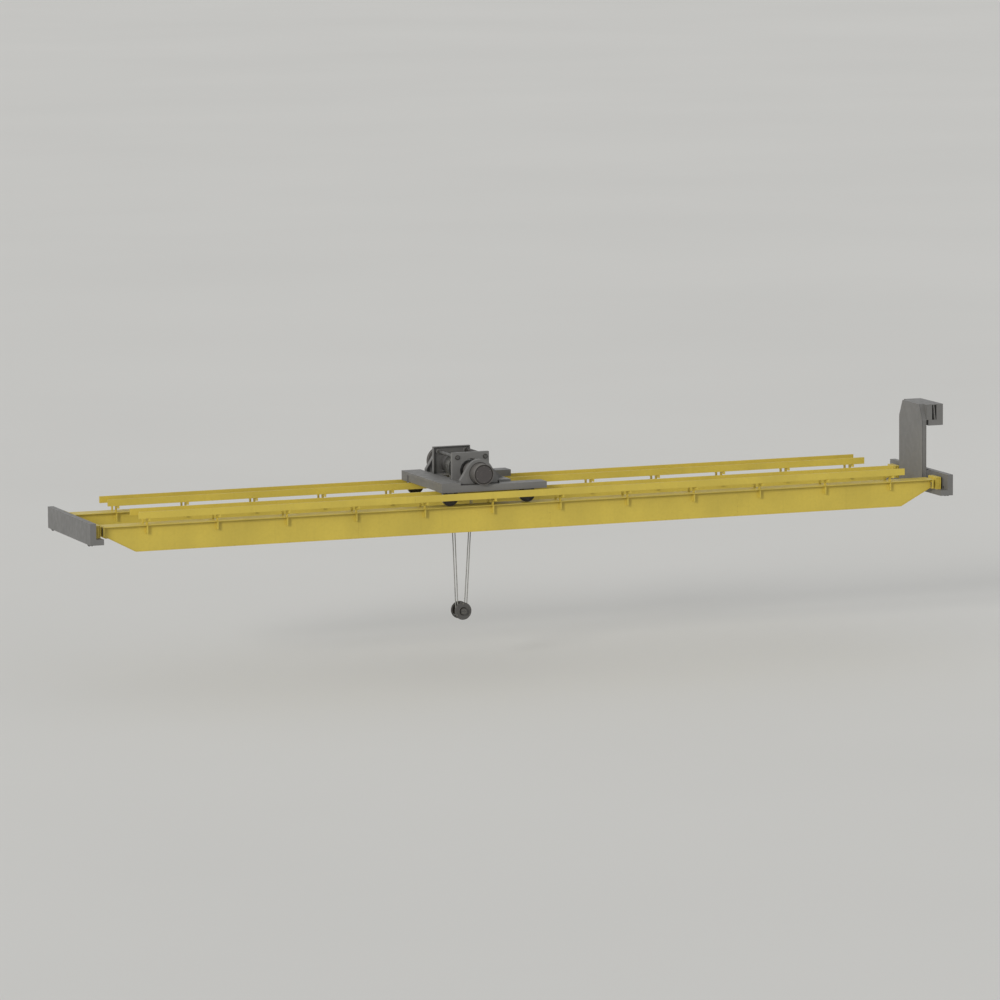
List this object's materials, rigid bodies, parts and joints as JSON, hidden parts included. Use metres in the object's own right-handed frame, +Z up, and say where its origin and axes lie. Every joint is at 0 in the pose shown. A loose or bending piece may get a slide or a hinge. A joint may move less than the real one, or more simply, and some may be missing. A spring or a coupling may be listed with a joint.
{
  "type": "overhead bridge crane",
  "caption": "Overhead bridge crane: box girders on end trucks, a wheeled hoist trolley with drum, ropes and sheave block, and a mast with an upper carriage at one end.",
  "frame": {"origin": "middle of the flat underside of the left end truck", "axes": "+X along the bridge to the end with the mast, +Y along the runway away from the camera, +Z up"},
  "size_m": [22.715, 3.464, 4.7809],
  "materials": {
    "yellow_paint": "satin, worn",
    "grey_paint": "satin, worn",
    "drive_paint": "satin",
    "wheel_iron": "matte",
    "bare_steel": "satin",
    "wire_rope": "satin"
  },
  "bodies": {
    "bridge": {"brackets_front_inner": "yellow_paint", "brackets_front_outer": "yellow_paint", "brackets_rear_inner": "yellow_paint", "brackets_rear_outer": "yellow_paint", "girder_front_bottom_flange": "yellow_paint", "girder_front_end_left": "yellow_paint", "girder_front_end_right": "yellow_paint", "girder_front_top_flange": "yellow_paint", "girder_front_webs": "yellow_paint", "girder_rear_bottom_flange": "yellow_paint", "girder_rear_end_left": "yellow_paint", "girder_rear_end_right": "yellow_paint", "girder_rear_top_flange": "yellow_paint", "girder_rear_webs": "yellow_paint", "guard_bars_front": "yellow_paint", "guard_bars_rear": "yellow_paint", "mast": "grey_paint", "mast_arm": "grey_paint", "truck_left": "grey_paint", "truck_right": "grey_paint", "upper_carriage": "grey_paint"},
    "trolley": {"trolley_beam_front": "grey_paint", "trolley_beam_rear": "grey_paint", "trolley_cross_left": "grey_paint", "trolley_cross_right": "grey_paint", "hoist_deck": "grey_paint", "hoist_plate_front": "grey_paint", "hoist_plate_rear": "grey_paint", "hoist_pedestal_front": "grey_paint", "hoist_pedestal_rear": "grey_paint", "hoist_unit_front": "drive_paint", "hoist_unit_rear": "drive_paint", "hoist_tie_rods": "bare_steel", "rope_anchor": "bare_steel", "drum_ropes": "wire_rope", "fixed_ropes": "wire_rope"},
    "drum": {"drum": "bare_steel", "drum_rope_turns": "wire_rope"},
    "block": {"rope_block": "grey_paint", "rope_bights": "wire_rope"},
    "sheave_front": {"sheave_front": "wheel_iron"},
    "sheave_rear": {"sheave_rear": "wheel_iron"},
    "trolley_wheel_front_left": {"trolley_wheel_front_left": "wheel_iron"},
    "trolley_wheel_front_right": {"trolley_wheel_front_right": "wheel_iron"},
    "trolley_wheel_rear_left": {"trolley_wheel_rear_left": "wheel_iron"},
    "trolley_wheel_rear_right": {"trolley_wheel_rear_right": "wheel_iron"},
    "truck_wheel_left_front": {"truck_wheel_left_front": "wheel_iron"},
    "truck_wheel_left_rear": {"truck_wheel_left_rear": "wheel_iron"},
    "truck_wheel_right_front": {"truck_wheel_right_front": "wheel_iron"},
    "truck_wheel_right_rear": {"truck_wheel_right_rear": "wheel_iron"}
  },
  "joints": [
    {"name": "trolley_travel", "type": "slide", "parent": "bridge", "child": "trolley", "axis": [1, 0, 0], "range_m": [-7.7, 9.5]},
    {"name": "lift", "type": "slide", "parent": "trolley", "child": "block", "axis": [0, 0, 1], "range_m": [0, 2.4], "deforming": ["drum_ropes", "fixed_ropes"]},
    {"name": "drum_turn", "type": "hinge", "parent": "trolley", "child": "drum", "pos_m": [9.8855, 0, 1.151], "axis": [0, 1, 0], "continuous": true},
    {"name": "trolley_wheel_front_left_turn", "type": "hinge", "parent": "trolley", "child": "trolley_wheel_front_left", "pos_m": [9.1155, -1.225, 0.5993], "axis": [0, 1, 0], "continuous": true},
    {"name": "trolley_wheel_front_right_turn", "type": "hinge", "parent": "trolley", "child": "trolley_wheel_front_right", "pos_m": [11.1155, -1.225, 0.5993], "axis": [0, 1, 0], "continuous": true},
    {"name": "trolley_wheel_rear_left_turn", "type": "hinge", "parent": "trolley", "child": "trolley_wheel_rear_left", "pos_m": [9.1155, 1.225, 0.5993], "axis": [0, 1, 0], "continuous": true},
    {"name": "trolley_wheel_rear_right_turn", "type": "hinge", "parent": "trolley", "child": "trolley_wheel_rear_right", "pos_m": [11.1155, 1.225, 0.5993], "axis": [0, 1, 0], "continuous": true},
    {"name": "sheave_front_turn", "type": "hinge", "parent": "block", "child": "sheave_front", "pos_m": [9.8425, -0.075, -2.389], "axis": [0, 1, 0], "continuous": true},
    {"name": "sheave_rear_turn", "type": "hinge", "parent": "block", "child": "sheave_rear", "pos_m": [9.8425, 0.075, -2.389], "axis": [0, 1, 0], "continuous": true},
    {"name": "truck_wheel_left_front_turn", "type": "hinge", "parent": "bridge", "child": "truck_wheel_left_front", "pos_m": [-0.096, -1.48, 0.18], "axis": [1, 0, 0], "continuous": true},
    {"name": "truck_wheel_left_rear_turn", "type": "hinge", "parent": "bridge", "child": "truck_wheel_left_rear", "pos_m": [-0.096, 1.48, 0.18], "axis": [1, 0, 0], "continuous": true},
    {"name": "truck_wheel_right_front_turn", "type": "hinge", "parent": "bridge", "child": "truck_wheel_right_front", "pos_m": [22.257, -1.48, 0.18], "axis": [1, 0, 0], "continuous": true},
    {"name": "truck_wheel_right_rear_turn", "type": "hinge", "parent": "bridge", "child": "truck_wheel_right_rear", "pos_m": [22.257, 1.48, 0.18], "axis": [1, 0, 0], "continuous": true}
  ],
  "couplings": [
    {"joint": "drum_turn", "follows": "lift", "rad_per_m": 7.2727},
    {"joint": "trolley_wheel_front_left_turn", "follows": "trolley_travel", "rad_per_m": 4.6948},
    {"joint": "trolley_wheel_front_right_turn", "follows": "trolley_travel", "rad_per_m": 4.6948},
    {"joint": "trolley_wheel_rear_left_turn", "follows": "trolley_travel", "rad_per_m": 4.6948},
    {"joint": "trolley_wheel_rear_right_turn", "follows": "trolley_travel", "rad_per_m": 4.6948},
    {"joint": "sheave_front_turn", "follows": "lift", "rad_per_m": 9.0909},
    {"joint": "sheave_rear_turn", "follows": "lift", "rad_per_m": 9.0909}
  ]
}
